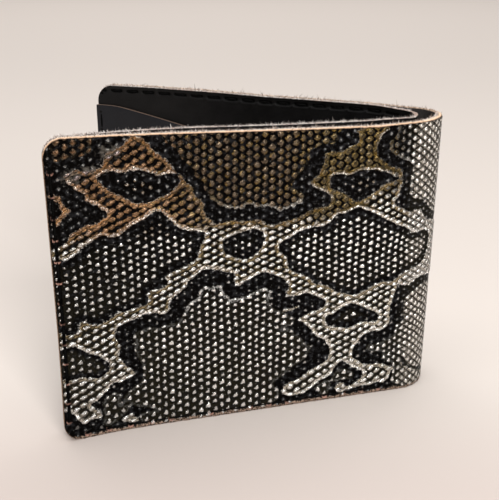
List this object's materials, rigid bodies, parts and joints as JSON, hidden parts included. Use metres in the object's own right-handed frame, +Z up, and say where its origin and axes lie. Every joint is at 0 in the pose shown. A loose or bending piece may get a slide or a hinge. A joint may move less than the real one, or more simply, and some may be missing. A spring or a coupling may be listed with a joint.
{
  "type": "bifold wallet",
  "caption": "Bifold wallet in python-embossed foil leather, standing open in a V on its long edges, with a bill compartment and slanted card pockets; its fold opens and closes.",
  "frame": {"origin": "middle of the standing wallet's box, on the surface it stands on", "axes": "+Z up along the fold, +X from the open end of the V towards the fold, +Y towards the back half"},
  "size_m": [0.1134, 0.0846, 0.09],
  "materials": {
    "cover_leather": "python-embossed, metallic foil over black",
    "liner_leather": "smooth black",
    "pocket_leather": "smooth blue-black, slight sheen",
    "thread": "waxed black thread"
  },
  "bodies": {
    "front_half": {"cover_front": "cover_leather", "liner_front": "liner_leather", "card_pocket_front_upper": "pocket_leather", "card_pocket_front_lower": "pocket_leather", "thread_edge_front": "thread", "thread_top_front": "thread"},
    "spine": {"cover_spine": "cover_leather", "liner_spine": "liner_leather"},
    "back_half": {"cover_back": "cover_leather", "liner_back": "liner_leather", "card_pocket_back_upper": "pocket_leather", "card_pocket_back_lower": "pocket_leather", "thread_edge_back": "thread", "thread_top_back": "thread"}
  },
  "joints": [
    {"name": "fold_front", "type": "hinge", "parent": "front_half", "child": "spine", "pos_m": [0.05451, -0.00677, 0.045], "axis": [0, 0, -1], "range_deg": [-17, 73], "deforming": ["liner_spine"]},
    {"name": "fold_back", "type": "hinge", "parent": "spine", "child": "back_half", "pos_m": [0.05451, 0.00677, 0.045], "axis": [0, 0, -1], "range_deg": [-17, 73]}
  ],
  "couplings": [
    {"joint": "fold_back", "follows": "fold_front", "ratio": 1}
  ]
}
